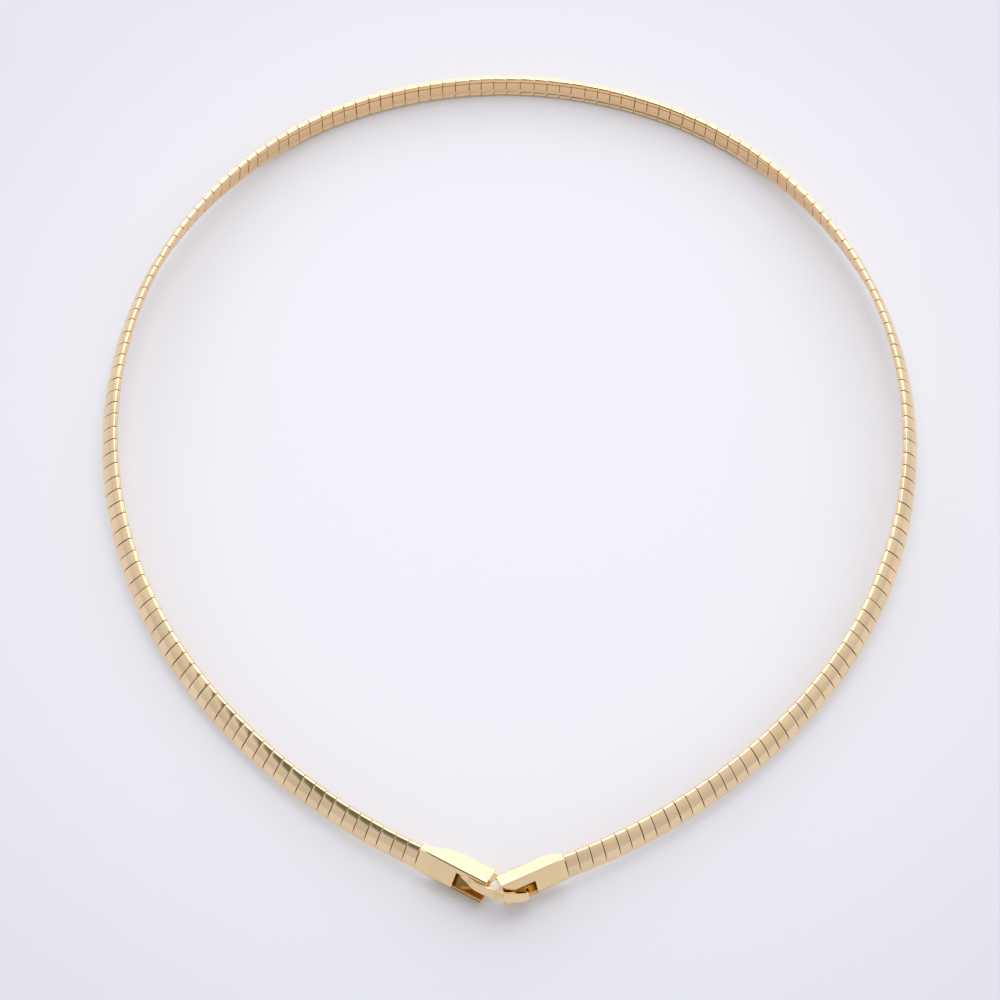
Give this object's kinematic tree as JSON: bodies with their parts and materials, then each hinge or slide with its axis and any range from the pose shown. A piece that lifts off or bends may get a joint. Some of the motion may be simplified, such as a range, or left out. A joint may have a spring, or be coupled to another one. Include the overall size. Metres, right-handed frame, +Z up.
{
  "type": "omega necklace",
  "caption": "Rigid collar of narrow domed metal plates threaded on a flat core strip, closed by a cap with a hook finger and a cap with a catch window.",
  "frame": {"origin": "on the surface that the necklace lies on, below the centre of its bounding box", "axes": "+Z up from the surface, +Y from the clasp to the back of the neck, +X to the wearer's left when worn"},
  "size_m": [0.1328, 0.1498, 0.0082],
  "materials": {
    "polished_gold": "polished gold finish over brass",
    "clasp_gold": "polished gold finish over brass",
    "core_metal": "rolled metal strip"
  },
  "bodies": {
    "root": {"plates_left": "polished_gold", "plates_right": "polished_gold", "core_strip": "core_metal", "hook_cap": "clasp_gold", "catch_cap": "clasp_gold"}
  },
  "joints": []
}
